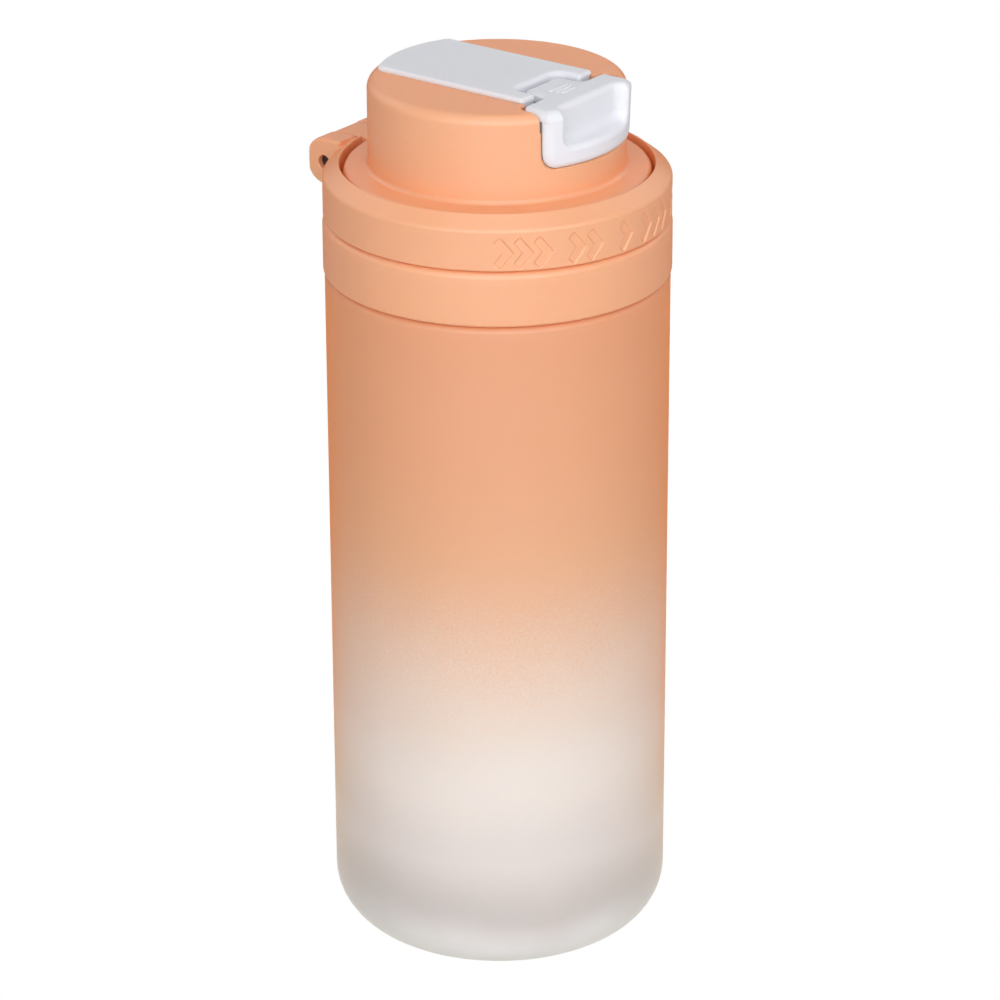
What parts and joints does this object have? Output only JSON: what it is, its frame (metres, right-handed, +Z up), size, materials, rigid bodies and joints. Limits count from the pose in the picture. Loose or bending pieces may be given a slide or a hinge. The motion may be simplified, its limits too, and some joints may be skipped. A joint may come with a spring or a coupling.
{
  "type": "sports bottle",
  "caption": "Round frosted sports bottle with a screw lid, a domed flip cap on a rear hinge pin, a sprung front latch button and a drinking spout under the cap.",
  "frame": {"origin": "centre of the base, on the surface the bottle stands on", "axes": "+Z up along the bottle's axis, -Y towards the latch button, +Y towards the hinge, +X along the hinge pin"},
  "size_m": [0.0736, 0.0799, 0.1947],
  "materials": {
    "frosted_body": "frosted plastic, sprayed peach at the top and fading to milky white at the base",
    "peach_plastic": "satin moulded plastic with a fine grain",
    "white_plastic": "satin moulded plastic",
    "inner_plastic": "smooth moulded plastic",
    "silicone": "soft matte silicone",
    "steel": "drawn steel wire and rod"
  },
  "bodies": {
    "bottle": {"bottle_body": "frosted_body", "neck_ring": "peach_plastic"},
    "gasket": {"neck_gasket": "silicone"},
    "lid": {"lid_base": "peach_plastic", "lid_collar": "peach_plastic", "hinge_pin": "steel", "hinge_spring": "steel"},
    "flip": {"flip_lid": "peach_plastic", "seal_carrier": "inner_plastic", "spout_seal": "silicone", "top_strip": "white_plastic", "latch_pin": "steel", "latch_spring": "steel"},
    "latch": {"latch_button": "white_plastic"}
  },
  "joints": [
    {"name": "lid_rise", "type": "slide", "parent": "bottle", "child": "gasket", "axis": [0, 0, 1], "range_m": [0, 0.0057]},
    {"name": "lid_turn", "type": "hinge", "parent": "gasket", "child": "lid", "pos_m": [0, 0, 0.165], "axis": [0, 0, 1], "range_deg": [0, 450]},
    {"name": "lid_flip", "type": "hinge", "parent": "lid", "child": "flip", "pos_m": [0, 0.0385, 0.1697], "axis": [-1, 0, 0], "range_deg": [0, 125], "deforming": ["hinge_spring"]},
    {"name": "latch_press", "type": "hinge", "parent": "flip", "child": "latch", "pos_m": [0, -0.019, 0.1835], "axis": [-1, 0, 0], "range_deg": [0, 4], "stiffness_Nm_per_rad": 0.6, "springref_deg": -2.86, "deforming": ["latch_spring"]}
  ],
  "couplings": [
    {"joint": "lid_rise", "follows": "lid_turn", "m_per_rad": 0.0007162}
  ]
}
